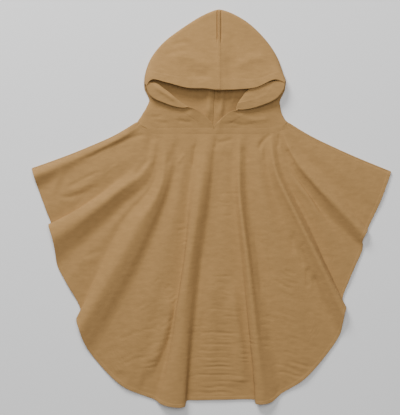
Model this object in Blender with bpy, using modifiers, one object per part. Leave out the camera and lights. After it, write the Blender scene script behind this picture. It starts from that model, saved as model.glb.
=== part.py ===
"""Hooded bath poncho for a small child, in double gauze, laid flat with its face up.

Four cut pieces, each a thin wall of cloth: a back panel that lies flat, a front panel that fans
out from the neck seam in long soft folds, and the two halves of a pointed hood, which meet in a
centre seam.  Run it with: blender --background --python part.py

Frame: +Z up, +Y towards the hood's peak, +X across the shoulders, z = 0 the table.
Every table below is in millimetres.
"""
from collections import namedtuple

import bmesh
import bpy
import numpy as np

MM = 0.001

# ---------------------------------------------------------------- driving dimensions, in mm
CLOTH = 1.6                 # wall of a single layer of double gauze with its crinkle
HEM = 3.0                   # wall where the cloth is turned over at the hood's rim and seam
SEAM_GAP = 0.5              # between two pieces at a seam
BACK_SEAM_GAP = 1.0         # and down the hood's back, where wrinkles tilt the two edges
LAY_GAP = 0.3               # between two layers that lie on each other
BACK_Z = CLOTH / 2          # middle of a layer that lies on the table
FRONT_Z = BACK_Z + CLOTH + LAY_GAP      # middle of a layer that lies on the back panel
NECK_Z = 4.4                # middle of the front layer at the neck seam
NECK_END_Z = 4.6            # and at the seam's two ends
EDGE_ROUND = 2.6            # how far the hood's folded edge takes to turn
EDGE_DEPTH = 3.8            # least height between the two layers at that edge
EDGE_HEIGHT = 0.72          # and that height as a share of the section's side point's
HEM_INSET = 4.0             # the back panel's hem stops this far inside the front's
CROWN_SEAM_X = 15.5         # the hood's centre seam, over the crown
BACK_SEAM_LOW = (3.0, 172.0)            # the same seam down the hood's back, at the nape
BACK_SEAM_HIGH = (15.5, 390.0)          # and just under the peak
VEE_X = 5.0                 # where the hood's two front edges meet
BACK_NECK_Y = 172.0         # the neck seam at the back, where the hood meets the back panel
BACK_NECK_CORNER = 5.0      # the back panel's neck corners are cut off by this

# How finely each surface is sampled.
PANEL_ROWS = 15             # neck to hem
PANEL_ROW_POWER = 0.9       # under 1, so that the rows near the neck are further apart
PANEL_STEPS = 2             # between two fold lines
NECK_STEPS = 8              # between two points of the neck line
HEM_STEPS = 3               # between two points of the back panel's hem
HOOD_ROW_STEPS = 2          # between two hood sections
HOOD_STEPS = 3              # between two points of a section

GAUZE = (0.434, 0.270, 0.140, 1.0)
GAUZE_ROUGHNESS = 0.95

# ---------------------------------------------------------------- neck seam
# The seam's own line, from the left end to the right one.
NECK_LINE = (
    (-149, 172), (-133, 160.5), (-113, 155), (-75, 154.5), (-35, 154.5), (5, 154.5),
    (40, 154.5), (80, 154.5), (117, 155), (137, 160), (153, 171),
)

# ---------------------------------------------------------------- front panel
# A row for each fold line, from the left shoulder round to the right one.  A line starts at the
# neck seam at x = neck and passes the yoke, a fifth of its length down, and the middle.  The
# long folds are called a to f from the left sleeve to the right one: a line runs along the crest
# of each, along its lip, which stands over the foot beside it, and down its slope to a valley.
FoldLine = namedtuple("FoldLine", "name neck yoke middle hem")
YOKE_AT = 0.2
MIDDLE_AT = 0.5
FRONT_FOLDS = (
    FoldLine("left_shoulder_edge", -149, (-188, 147.6, 2.7), (-251, 119, 2.7), (-360, 78, 2.7)),
    FoldLine("left_shoulder_roll", -142, (-182, 141.5, 7.0), (-246, 111, 6.5), (-355.5, 65, 13.5)),
    FoldLine("left_shoulder_foot", -136, (-172, 136, 3.4), (-237, 101, 3.8), (-347, 38, 3.2)),
    FoldLine("left_sleeve", -131, (-150, 118, 4.5), (-214, 75, 5.5), (-331, -5, 4.5)),
    FoldLine("a_foot", -127, (-137, 107, 4.6), (-199, 46, 3.6), (-321, -34, 3.2)),
    FoldLine("a_lip", -123, (-131, 99, 5.4), (-196, 42, 8.5), (-326, -33, 8.0)),
    FoldLine("a_crest", -119, (-126, 90, 7.0), (-190, 32, 14.5), (-318, -60, 16.5)),
    FoldLine("a_slope", -115, (-122, 80, 5.4), (-185, 20, 9.5), (-313, -87, 9.5)),
    FoldLine("a_valley", -112, (-118, 72, 3.6), (-180, 5, 3.2), (-309, -115, 3.0)),
    FoldLine("ab_panel", -109, (-115, 66, 3.4), (-178, -13, 4.2), (-290, -151, 5.0)),
    FoldLine("b_foot", -106, (-112, 62, 3.8), (-176, -28, 4.0), (-262, -206, 3.4)),
    FoldLine("b_lip", -102, (-107, 59, 6.5), (-170, -39, 8.5), (-270, -221, 8.0)),
    FoldLine("b_crest", -93, (-99, 57, 11.5), (-153, -45, 16.5), (-265, -241, 16.0)),
    FoldLine("b_slope", -80, (-89, 60, 8.5), (-138, -59, 12.0), (-255, -269, 10.0)),
    FoldLine("b_valley", -66, (-77, 62, 3.6), (-125, -76, 3.2), (-240, -294, 3.0)),
    FoldLine("bc_panel", -46, (-61, 56, 6.5), (-94, -94, 7.0), (-178, -357, 5.0)),
    FoldLine("c_valley", -26, (-43, 46, 4.0), (-57, -113, 4.2), (-113, -384, 3.0)),
    FoldLine("c_back", -14, (-33, 46, 11.5), (-55, -114, 12.5), (-100, -392, 11.5)),
    FoldLine("c_crest", -4, (-21, 46, 15.5), (-45, -114, 17.0), (-78, -397.5, 17.0)),
    FoldLine("c_lip", 3, (-10, 46, 11.5), (-35, -114, 12.5), (-54.5, -397, 14.0)),
    FoldLine("c_foot", 8, (-1, 46, 5.2), (-22, -113, 4.2), (-50, -386, 3.4)),
    FoldLine("c_skirt", 15, (10, 46, 3.4), (-9, -113, 3.2), (-28, -385, 3.0)),
    FoldLine("centre_panel", 29, (28, 46, 4.5), (22, -114, 4.4), (22, -384, 3.2)),
    FoldLine("d_foot", 44, (43, 46, 4.2), (60, -115, 3.6), (91, -385, 2.9)),
    FoldLine("d_lip", 51, (49, 46, 7.5), (65, -116, 8.5), (88, -391, 9.0)),
    FoldLine("d_crest", 58, (55, 46, 12.5), (73, -116, 14.5), (102, -392, 15.5)),
    FoldLine("d_slope", 65, (63, 46, 7.0), (83, -117, 8.0), (120, -388, 10.0)),
    FoldLine("d_valley", 72, (71, 45, 3.2), (96, -117, 3.2), (138, -373, 3.0)),
    FoldLine("de_panel", 88, (97, 56, 7.5), (130, -86, 7.5), (188, -341, 5.0)),
    FoldLine("e_valley", 103, (115, 67, 4.0), (153, -42, 4.2), (256, -256, 3.0)),
    FoldLine("e_slope", 111, (121, 73, 8.0), (165, -36, 9.5), (262, -233, 9.0)),
    FoldLine("e_crest", 118, (127, 79, 12.5), (176, -29, 15.5), (266, -210, 15.5)),
    FoldLine("e_lip", 123, (132, 82, 9.0), (182, -25, 10.5), (269, -198, 8.5)),
    FoldLine("e_foot", 127, (138, 86, 4.6), (189, -20, 3.6), (262, -187, 3.4)),
    FoldLine("ef_panel", 130, (147, 92, 5.0), (204, 5, 6.5), (281, -132, 4.5)),
    FoldLine("f_valley", 133, (153, 99, 3.8), (195, 30, 3.2), (303, -80, 3.0)),
    FoldLine("f_slope", 136, (157, 103, 6.5), (203, 40, 8.5), (302, -66, 9.0)),
    FoldLine("f_crest", 139, (161, 108, 10.0), (209, 47, 14.5), (307, -54, 14.5)),
    FoldLine("f_lip", 142, (165, 113, 7.5), (217, 56, 9.5), (312, -45, 8.5)),
    FoldLine("f_foot", 145, (171, 119, 4.6), (226, 66, 4.0), (313, -41, 2.9)),
    FoldLine("right_sleeve", 149, (181, 131, 4.5), (237, 87, 5.0), (339, 14, 4.0)),
    FoldLine("right_shoulder_edge", 153, (192, 147, 2.7), (253, 117, 2.7), (360, 72, 2.7)),
)

# ---------------------------------------------------------------- back panel
# It lies flat under the front one, so only its hem line counts: the fold lines below.
BACK_HEM_LINES = (
    "left_shoulder_edge", "left_shoulder_foot", "left_sleeve", "a_foot", "a_valley", "ab_panel",
    "b_foot", "b_valley", "bc_panel", "c_valley", "c_skirt", "centre_panel", "d_foot", "d_valley",
    "de_panel", "e_valley", "e_foot", "ef_panel", "f_valley", "f_foot", "right_sleeve",
    "right_shoulder_edge",
)

# ---------------------------------------------------------------- hood
# A row for each section of a hood half, from the neck seam up to the centre seam.  A section
# runs from the rim, over the roll of the turned-out lip, back under it, across the side to the
# folded edge, and from there along the table to the centre seam, which it meets at y = back.
Section = namedtuple("Section", "name rim roll under side fold back")
TIP_POINT = 5               # the folded edge's tip, in the points that section_points gives
# Points between the folded edge and the seam at the back, closer where the layer is wrinkled.
BACK_STATIONS = (0.45, 0.7, 0.86)
HOOD_LEFT = (
    Section("neck_seam", (5, 154.7, 4.4), (-35, 154.7, 4.4), (-75, 154.7, 4.4),
            (-113, 155.2, 4.4), (-149, 172), 172),
    Section("vee", (5, 163.5, 6.0), (-33, 163, 5.6), (-73, 163, 5.2), (-114, 164, 5.2),
            (-146, 177), 178),
    Section("vee_side", (-12, 184, 9.0), (-34, 177, 7.8), (-72, 174, 6.6), (-112, 176, 6.0),
            (-141, 184), 186),
    Section("vee_top", (-26, 194, 11.5), (-42, 187, 9.8), (-74, 183, 7.6), (-110, 186, 6.6),
            (-137, 191), 193),
    Section("lip_turn", (-42, 201, 14.0), (-45, 198.5, 10.8), (-67, 193, 8.4), (-108, 194, 6.8),
            (-133, 197), 199),
    Section("lip_start", (-58, 200, 15.0), (-58, 208.5, 14.5), (-74, 203, 8.8), (-108, 201, 6.8),
            (-130, 203), 205),
    Section("lip_low", (-77, 203.5, 15.0), (-74, 220, 15.0), (-87, 213, 8.8), (-108, 208, 6.8),
            (-127, 209), 212),
    Section("lip_mid", (-100, 211.5, 15.0), (-94, 237, 14.5), (-106, 229, 8.5),
            (-116, 220, 6.4), (-125, 216), 219),
    Section("lip_high", (-117, 220, 16.0), (-112, 245, 14.0), (-119, 238, 8.8), (-123, 229, 6.4),
            (-128, 225), 227),
    Section("corner_low", (-126, 230, 17.5), (-127, 243, 15.2), (-130, 242, 11.3),
            (-132, 239, 8.0), (-134, 237), 237),
    Section("corner_high", (-129, 242, 18.5), (-131, 247, 16.3), (-133, 248.5, 12.5),
            (-134, 249, 8.5), (-135, 249), 249),
    Section("brow_left", (-119, 256, 19.3), (-123, 261, 17.9), (-128, 265, 14.7),
            (-131, 268, 10.0), (-133, 269), 270),
    Section("brow_mid", (-89, 250, 19.0), (-99, 264, 17.0), (-109, 280, 14.0), (-117, 293, 9.5),
            (-122, 299), 300),
    Section("brow_inner", (-49, 239.5, 19.5), (-61, 266, 17.0), (-77, 298, 13.5),
            (-90, 324, 8.5), (-97, 331), 330),
    Section("crown_side", (-15, 238, 20.0), (-22, 276, 16.8), (-34, 320, 12.2), (-48, 352, 8.0),
            (-58, 361), 360),
    Section("crown_near", (4, 235.5, 20.5), (3, 285, 16.5), (-2, 337, 11.2), (-9, 372, 7.5),
            (-17, 386.5), 379),
    Section("seam_side", (10, 235, 20.5), (9.5, 288, 16.5), (8.5, 342, 11.2), (7.5, 379, 7.5),
            (8, 396.8), 388),
    Section("centre_seam", (15.5, 234.5, 20.5), (15.5, 290, 16.5), (15.5, 345, 11.2),
            (15.5, 381, 7.5), (15.5, 398), 391),
)
HOOD_RIGHT = (
    Section("neck_seam", (5, 154.7, 4.4), (40, 154.7, 4.4), (80, 154.7, 4.4),
            (117, 155.2, 4.4), (153, 171), 172),
    Section("vee", (5, 163.5, 6.0), (41, 162, 5.6), (80, 162, 5.2), (118, 163, 5.2),
            (148, 177), 178),
    Section("vee_side", (21, 181, 9.0), (45, 173, 7.8), (82, 171, 6.6), (117, 173, 6.0),
            (144, 184), 185),
    Section("vee_top", (39, 193, 12.0), (52, 185, 10.2), (86, 180, 7.6), (117, 182, 6.6),
            (141, 190), 191),
    Section("lip_turn", (53, 196, 14.5), (49, 195, 11.2), (72, 190, 8.6), (112, 187, 6.8),
            (140, 194), 195),
    Section("lip_start", (70, 197, 15.2), (52, 207, 14.8), (68, 200, 9.0), (109, 192, 6.8),
            (139, 198), 199),
    Section("lip_low", (96, 203, 15.5), (61, 221, 15.2), (76, 212, 8.5), (112, 200, 6.8),
            (138, 205), 206),
    Section("lip_mid", (124, 214, 16.0), (74, 236, 14.8), (92, 226, 8.5), (120, 212, 6.6),
            (137, 213), 214),
    Section("lip_high", (138, 226, 17.0), (104, 246, 14.2), (118, 238, 9.0), (132, 226, 6.6),
            (141, 223), 224),
    Section("corner_low", (144.5, 239, 17.8), (134, 249, 15.3), (140, 244, 11.5),
            (144.5, 239, 8.0), (147, 237), 237),
    Section("corner_high", (145, 249, 19.0), (146.5, 252, 16.7), (147.5, 252.5, 13.0),
            (148, 252.5, 9.0), (148.5, 252.5), 251),
    Section("brow_right", (126, 256, 20.0), (131, 263, 18.3), (137, 269, 15.2), (141, 272, 10.0),
            (143, 273), 272),
    Section("brow_mid", (89, 240.5, 19.5), (100, 259, 17.5), (113, 281, 14.5), (124, 299, 9.5),
            (131, 304), 302),
    Section("brow_inner", (49, 236, 20.0), (62, 264, 16.5), (80, 300, 13.2), (97, 329, 8.5),
            (108, 338), 332),
    Section("crown_side", (36, 235.5, 20.2), (41, 274, 15.0), (48, 320, 11.8), (61, 355, 8.0),
            (74, 371), 361),
    Section("crown_near", (26, 235, 20.5), (28, 285, 16.0), (32, 337, 11.2), (37, 374, 7.5),
            (42, 390), 380),
    Section("seam_side", (20, 234.5, 20.5), (21, 288, 16.5), (22.5, 342, 11.2), (23.5, 379, 7.5),
            (23, 396.8), 388),
    Section("centre_seam", (15.5, 234.5, 20.5), (15.5, 290, 16.5), (15.5, 345, 11.2),
            (15.5, 381, 7.5), (15.5, 398), 391),
)

# Soft wrinkles of the hood's back layer, seen through the face opening.
Wrinkle = namedtuple("Wrinkle", "low high width rise")
BACK_WRINKLES = (
    Wrinkle((-9, 174), (-3, 256), 17, 7.0),
    Wrinkle((16, 178), (21, 252), 13, 5.5),
    Wrinkle((36, 196), (52, 262), 15, 4.0),
)


def spline(points, knots, at):
    """Values at the given knots of a smooth curve through points, one row for each point."""
    points = np.asarray(points, float)
    gaps = np.diff(knots)
    slopes = np.diff(points, axis=0) / gaps[:, None]
    tangents = np.empty_like(points)
    weighted = slopes[1:] * gaps[:-1, None] + slopes[:-1] * gaps[1:, None]
    tangents[1:-1] = weighted / (gaps[1:] + gaps[:-1])[:, None]
    tangents[0] = 1.5 * slopes[0] - 0.5 * tangents[1]
    tangents[-1] = 1.5 * slopes[-1] - 0.5 * tangents[-2]
    gap = np.clip(np.searchsorted(knots, at, side="right") - 1, 0, len(gaps) - 1)
    span = gaps[gap][:, None]
    f = ((at - knots[gap]) / gaps[gap])[:, None]
    start = (1 + 2 * f) * (1 - f) ** 2 * points[gap] + f * (1 - f) ** 2 * span * tangents[gap]
    end = f * f * (3 - 2 * f) * points[gap + 1] + f * f * (f - 1) * span * tangents[gap + 1]
    return start + end


def samples(knots, steps):
    """Knots with steps even parts in each gap."""
    parts = np.arange(steps) / steps
    inner = (knots[:-1, None] + np.diff(knots)[:, None] * parts).ravel()
    return np.append(inner, knots[-1])


def chord_knots(points):
    """Centripetal knots, which keep a smooth curve from looping at tight turns."""
    lengths = np.linalg.norm(np.diff(points, axis=0), axis=-1)
    while lengths.ndim > 1:
        lengths = lengths.mean(axis=-1)
    return np.append(0.0, np.cumsum(np.sqrt(lengths + 1e-6)))


def smooth_line(points, steps):
    """A smooth curve through points, with steps even parts in each gap."""
    points = np.asarray(points, float)
    knots = chord_knots(points)
    return spline(points, knots, samples(knots, steps))


NECK_CURVE = smooth_line(NECK_LINE, NECK_STEPS)


def neck_y(x):
    """The neck seam's y at x."""
    return np.interp(x, NECK_CURVE[:, 0], NECK_CURVE[:, 1])


def neck_z(x):
    """The height at x of the front layer's middle along the neck seam."""
    outer = (NECK_CURVE[0, 0], NECK_LINE[2][0], NECK_LINE[-3][0], NECK_CURVE[-1, 0])
    return np.interp(x, outer, (NECK_END_Z, NECK_Z, NECK_Z, NECK_END_Z))


def back_seam_x(y):
    """The x at y of the centre seam down the hood's back, which leans a little."""
    (low_x, low_y), (high_x, high_y) = BACK_SEAM_LOW, BACK_SEAM_HIGH
    return np.interp(y, (low_y, high_y), (low_x, high_x))


def front_grid():
    """The front panel's middle surface: rows from the neck to the hem, a point on each line."""
    down = np.linspace(0, 1, PANEL_ROWS) ** PANEL_ROW_POWER
    lines = []
    for fold in FRONT_FOLDS:
        neck = (fold.neck, neck_y(fold.neck) - SEAM_GAP / 2, neck_z(fold.neck))
        stations = np.array([0, YOKE_AT, MIDDLE_AT, 1.0])
        lines.append(spline([neck, fold.yoke, fold.middle, fold.hem], stations, down))
    grid = np.array([smooth_line(row, PANEL_STEPS) for row in np.swapaxes(lines, 0, 1)])
    grid[0, :, 1] = neck_y(grid[0, :, 0]) - SEAM_GAP / 2
    grid[:, :, 2] = np.maximum(grid[:, :, 2], FRONT_Z)
    return grid


def section_points(section, side):
    """A hood section's points, from the rim to the centre seam at the back."""
    side_point = np.array(section.side)
    fold = np.array(section.fold, float)
    outward = fold - side_point[:2]
    outward /= np.linalg.norm(outward)
    turn = fold - outward * (EDGE_ROUND + CLOTH / 2)
    tip = fold - outward * CLOTH / 2
    top_z = BACK_Z + max(EDGE_DEPTH, EDGE_HEIGHT * (side_point[2] - BACK_Z))
    back = np.array([back_seam_x(section.back) + side * BACK_SEAM_GAP / 2, section.back])
    along_back = [(*(turn + (back - turn) * station), BACK_Z) for station in BACK_STATIONS]
    edge = [(*turn, top_z), (*tip, (top_z + BACK_Z) / 2), (*turn, BACK_Z)]
    front = [section.rim, section.roll, section.under, section.side]
    return [*front, *edge, *along_back, (*back, BACK_Z)]


def wrinkle_rise(x, y):
    """How far the wrinkles lift the hood's back layer at x, y."""
    rise = np.zeros_like(x)
    for wrinkle in BACK_WRINKLES:
        low, high = np.array(wrinkle.low), np.array(wrinkle.high)
        run = high - low
        length = np.linalg.norm(run)
        along = ((x - low[0]) * run[0] + (y - low[1]) * run[1]) / length ** 2
        across = ((x - low[0]) * run[1] - (y - low[1]) * run[0]) / length
        swell = np.sin(np.pi * np.clip(along, 0, 1))
        rise += wrinkle.rise * swell * np.exp(-(across / (wrinkle.width / 2)) ** 2)
    return rise


def hood_grid(sections, side):
    """A hood half's middle surface; side is -1 on the left and 1 on the right."""
    rows = np.array([section_points(section, side) for section in sections])
    rows[0, TIP_POINT:, 1] = BACK_NECK_Y + SEAM_GAP / 2
    knots = chord_knots(rows)
    flat = rows.reshape(len(rows), -1)
    rows = spline(flat, knots, samples(knots, HOOD_ROW_STEPS)).reshape(-1, *rows.shape[1:])
    grid = np.array([smooth_line(row, HOOD_STEPS) for row in rows])
    tip = TIP_POINT * HOOD_STEPS
    half_gap, back_half_gap = side * SEAM_GAP / 2, side * BACK_SEAM_GAP / 2
    grid[-1, :tip, 0] = CROWN_SEAM_X + half_gap
    grid[-1, tip:, 0] = CROWN_SEAM_X + back_half_gap
    grid[:, -1, 0] = back_seam_x(grid[:, -1, 1]) + back_half_gap
    grid[:HOOD_ROW_STEPS + 1, 0, 0] = VEE_X + half_gap
    grid[0, :tip, 1] = neck_y(grid[0, :tip, 0]) + SEAM_GAP / 2
    grid[0, tip:, 1] = BACK_NECK_Y + SEAM_GAP / 2
    grid[..., 2] = np.maximum(grid[..., 2], BACK_Z)
    on_table = np.zeros(grid.shape[:2], bool)
    on_table[HOOD_ROW_STEPS:-HOOD_ROW_STEPS - 1, tip + HOOD_STEPS + 1:] = True
    lift = wrinkle_rise(grid[..., 0], grid[..., 1])
    grid[..., 2] += np.where(on_table, lift, 0)
    return grid


def cloth_material(name):
    """A plain gauze finish."""
    material = bpy.data.materials.new(name)
    material.use_nodes = True
    shader = material.node_tree.nodes["Principled BSDF"]
    shader.inputs["Base Color"].default_value = GAUZE
    shader.inputs["Roughness"].default_value = GAUZE_ROUGHNESS
    shader.inputs["Metallic"].default_value = 0.0
    return material


def sheet_mesh(name, grid):
    """An open mesh over a grid of points in millimetres."""
    row_count, column_count = grid.shape[:2]
    mesh = bmesh.new()
    verts = [[mesh.verts.new(point * MM) for point in row] for row in grid]
    for r in range(row_count - 1):
        for c in range(column_count - 1):
            mesh.faces.new((verts[r][c], verts[r + 1][c], verts[r + 1][c + 1], verts[r][c + 1]))
    data = bpy.data.meshes.new(name)
    mesh.to_mesh(data)
    mesh.free()
    data.shade_smooth()
    return data


def cloth_wall(name, grid, collection, hem_rows=None):
    """A wall of cloth about a grid; hem_rows is true at the points where it is turned over."""
    sheet = bpy.data.objects.new(name, sheet_mesh(name, grid))
    collection.objects.link(sheet)
    sheet.data.materials.append(cloth_material(name))
    wall = sheet.modifiers.new("wall", "SOLIDIFY")
    wall.offset = 0
    wall.thickness = CLOTH * MM
    if hem_rows is not None:
        group = sheet.vertex_groups.new(name="turned")
        turned = [int(i) for i in np.flatnonzero(hem_rows.ravel())]
        group.add(turned, 1.0, "REPLACE")
        wall.vertex_group = "turned"
        wall.thickness = HEM * MM
        wall.thickness_vertex_group = CLOTH / HEM
    return sheet


def build_front(collection):
    return cloth_wall("front_panel", front_grid(), collection)


def build_back(collection):
    """A flat plate: the neck line, the shoulders and the hem line, a little inside the front's."""
    by_name = {fold.name: np.array(fold.hem[:2], float) for fold in FRONT_FOLDS}
    hem = smooth_line([by_name[name] for name in BACK_HEM_LINES], HEM_STEPS)
    top = np.array([0.0, BACK_NECK_Y])
    outward = (hem - top) / np.linalg.norm(hem - top, axis=1)[:, None]
    hem = hem - outward * HEM_INSET
    first, last = FRONT_FOLDS[0], FRONT_FOLDS[-1]
    neck_top = BACK_NECK_Y - SEAM_GAP
    left = [
        (first.neck + 2 * BACK_NECK_CORNER, neck_top),
        (first.neck, neck_top - BACK_NECK_CORNER),
        first.yoke[:2],
        first.middle[:2],
    ]
    right = [
        last.middle[:2],
        last.yoke[:2],
        (last.neck, neck_top - BACK_NECK_CORNER),
        (last.neck - 2 * BACK_NECK_CORNER, neck_top),
    ]
    outline = [*left, *hem, *right]
    curve = bpy.data.curves.new("back_panel", "CURVE")
    curve.dimensions = "2D"
    curve.fill_mode = "BOTH"
    curve.extrude = CLOTH / 2 * MM
    line = curve.splines.new("POLY")
    line.points.add(len(outline) - 1)
    for point, (x, y) in zip(line.points, outline):
        point.co = (x * MM, y * MM, 0, 1)
    line.use_cyclic_u = True
    panel = bpy.data.objects.new("back_panel", curve)
    panel.location.z = BACK_Z * MM
    panel.data.materials.append(cloth_material("back_panel"))
    collection.objects.link(panel)
    return panel


def build_hood_half(name, sections, side, collection):
    """A hood half with its rim turned over and its centre seam felled."""
    grid = hood_grid(sections, side)
    turned = np.zeros(grid.shape[:2], bool)
    turned[HOOD_ROW_STEPS:, :2] = True
    turned[-2:, :(TIP_POINT - 1) * HOOD_STEPS] = True
    return cloth_wall(name, grid, collection, turned)


def build():
    for old in list(bpy.data.objects):
        bpy.data.objects.remove(old, do_unlink=True)
    collection = bpy.data.collections.new("hooded_bath_poncho")
    bpy.context.scene.collection.children.link(collection)
    build_back(collection)
    build_front(collection)
    build_hood_half("hood_left", HOOD_LEFT, -1, collection)
    build_hood_half("hood_right", HOOD_RIGHT, 1, collection)


build()
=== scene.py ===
"""Looks of a small child's hooded bath poncho in crinkled double gauze, laid flat, face up.

Each CAD panel is replaced by a thin cloth shell with the same form: the same fold lines and hood
sections, sampled finely, with creases, the gauze's crinkle, hems and seams added.  The tables
are in millimetres, and the meshes in metres.
"""
import math
from collections import namedtuple

import bpy
import numpy as np
from mathutils.bvhtree import BVHTree
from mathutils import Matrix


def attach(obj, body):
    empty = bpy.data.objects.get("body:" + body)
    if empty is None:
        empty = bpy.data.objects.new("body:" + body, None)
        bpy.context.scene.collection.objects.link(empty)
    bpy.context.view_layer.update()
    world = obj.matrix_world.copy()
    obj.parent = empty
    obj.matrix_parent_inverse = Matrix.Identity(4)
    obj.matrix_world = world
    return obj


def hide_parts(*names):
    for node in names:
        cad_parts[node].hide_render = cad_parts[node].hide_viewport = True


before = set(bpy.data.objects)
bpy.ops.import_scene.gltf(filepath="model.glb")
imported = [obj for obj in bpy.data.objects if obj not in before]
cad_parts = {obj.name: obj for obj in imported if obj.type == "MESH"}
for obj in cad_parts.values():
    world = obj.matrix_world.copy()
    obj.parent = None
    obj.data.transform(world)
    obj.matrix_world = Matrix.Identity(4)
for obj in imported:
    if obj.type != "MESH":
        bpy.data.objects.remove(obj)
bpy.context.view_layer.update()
MM = 0.001

# ---- sizes, in mm
CLOTH = 1.1              # the shell's wall
HEM_EXTRA = 0.5          # added to it where an edge is turned in
BACK_Z = 0.8             # middle of a layer that lies on the table
FRONT_Z = 2.7            # middle of a layer that lies on the back panel
NECK_Z = 4.4             # middle of the front layer at the neck seam
NECK_END_Z = 4.6         # and at the seam's two ends
EDGE_ROUND = 2.6         # how far the hood's folded edge takes to turn
EDGE_WALL = 1.6          # the wall that the folded edge is set out for
EDGE_DEPTH = 3.8         # least height between the two layers at that edge
EDGE_HEIGHT = 0.72       # and that height as a share of the section's side point's
HEM_INSET = 4.0          # the back panel's hem stops this far inside the front's
CROWN_SEAM_X = 15.5
BACK_SEAM_LOW = (3.0, 172.0)
BACK_SEAM_HIGH = (15.5, 390.0)
VEE_X = 5.0
BACK_NECK_Y = 172.0
HEM_DEPTH = 6.0          # the narrow hem round the lower edge
HEM_STITCHES = 4.8       # its stitches, from the edge
RIM_HEM_DEPTH = 25.0     # the wide hem along the hood's face edge
RIM_STITCHES = 23.4
CROWN_BAND = 6.2         # the felled centre seam's width
NECK_BAND = 12.6         # the neck seam's
SHOULDER_STITCHES = 5.5  # from the shoulder's edge
NAPE_DIP = 13.0          # how far the nape seam sinks towards the hem, under the V's point
NAPE_DIP_WIDTH = 20.0    # how quickly that fades to both sides
NAPE_DIP_REACH = 34.0    # and how far from the seam the cloth follows it
FRONT_SINK = 0.3         # how far a trough may sink below FRONT_Z


def table(columns, rows):
    """Rows with named columns."""
    return [columns(*row) for row in rows]


# ---- neck seam
NECK_LINE = (
    (-149, 172), (-133, 160.5), (-113, 155), (-75, 154.5), (-35, 154.5), (5, 154.5),
    (40, 154.5), (80, 154.5), (117, 155), (137, 160), (153, 171),
)

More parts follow.
